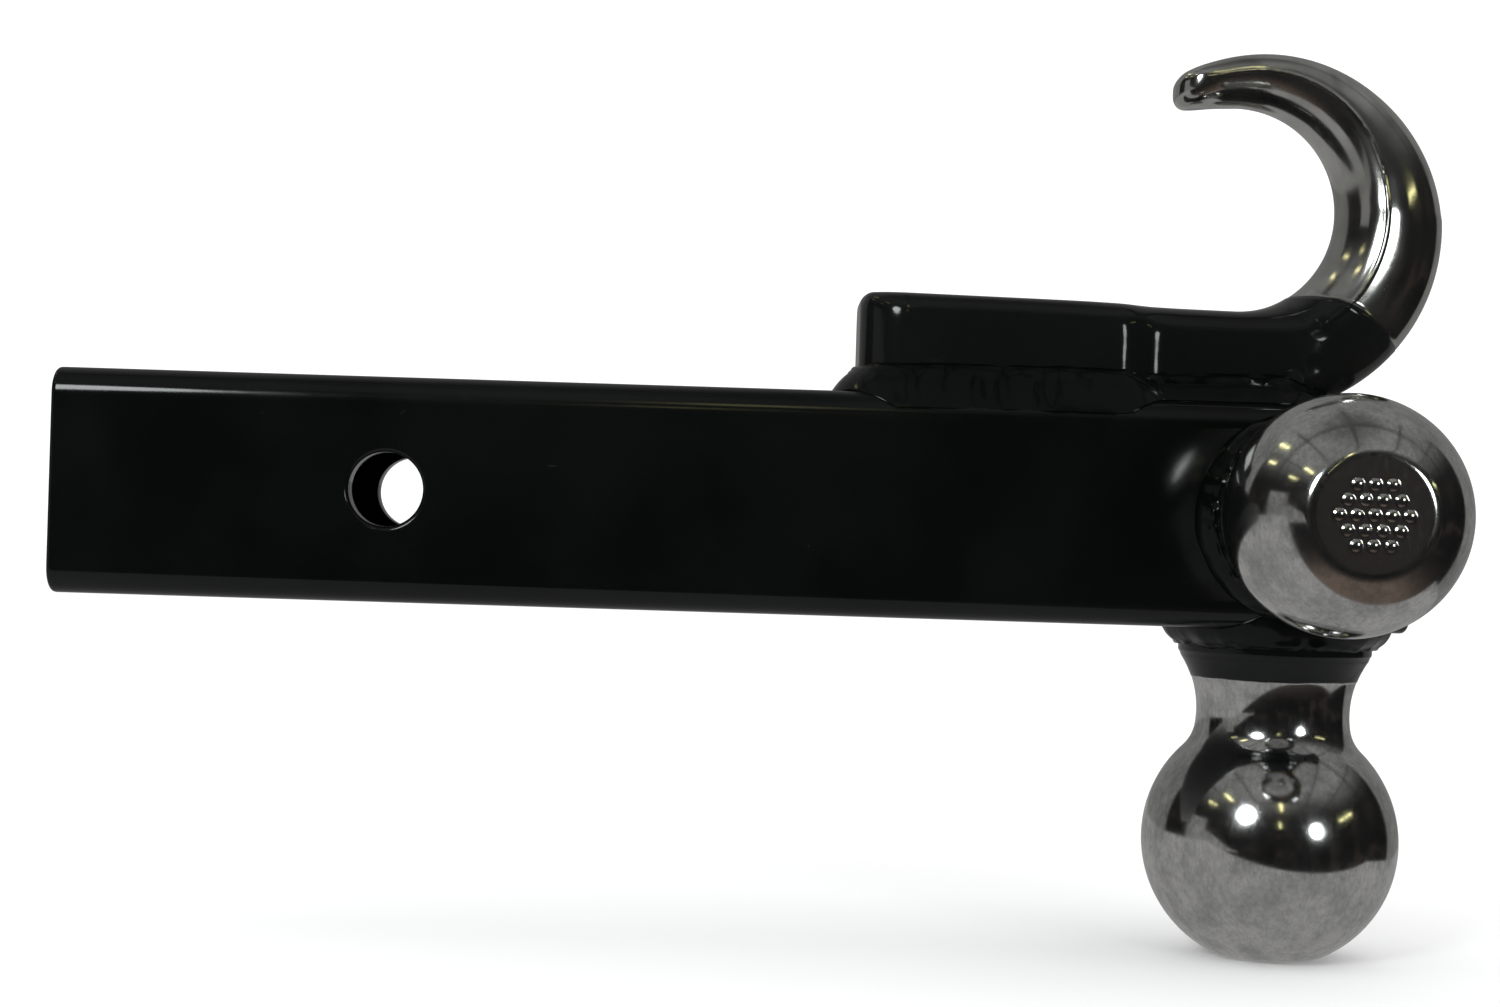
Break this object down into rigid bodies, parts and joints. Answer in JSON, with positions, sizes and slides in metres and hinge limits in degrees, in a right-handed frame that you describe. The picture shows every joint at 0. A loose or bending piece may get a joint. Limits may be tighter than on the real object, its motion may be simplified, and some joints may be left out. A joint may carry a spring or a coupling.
{
  "type": "tri-ball trailer hitch mount",
  "caption": "Square receiver shank with welded towing balls of three sizes, a forged tow hook on top and a cross hole for a hitch pin.",
  "frame": {"origin": "centre of the hitch-pin hole, on the axis of the shank", "axes": "+X along the shank from the open end to the balls, +Z towards the tow hook, -Y towards the 2 inch ball"},
  "size_m": [0.3156, 0.1742, 0.2094],
  "materials": {
    "black_paint": "gloss black paint over steel tube",
    "weld_paint": "gloss black paint over rippled weld",
    "ball_chrome": "chrome plate on forged steel, black paint up to the neck",
    "hook_chrome": "chrome plate on forged steel, black paint on the base bar"
  },
  "bodies": {
    "root": {"shank_tube": "black_paint", "end_cap": "black_paint", "ball_front": "ball_chrome", "ball_bottom": "ball_chrome", "ball_rear": "ball_chrome", "tow_hook": "hook_chrome", "weld_ball_front": "weld_paint", "weld_ball_bottom": "weld_paint", "weld_ball_rear": "weld_paint", "weld_tow_hook": "weld_paint", "weld_end_cap": "weld_paint"}
  },
  "joints": []
}
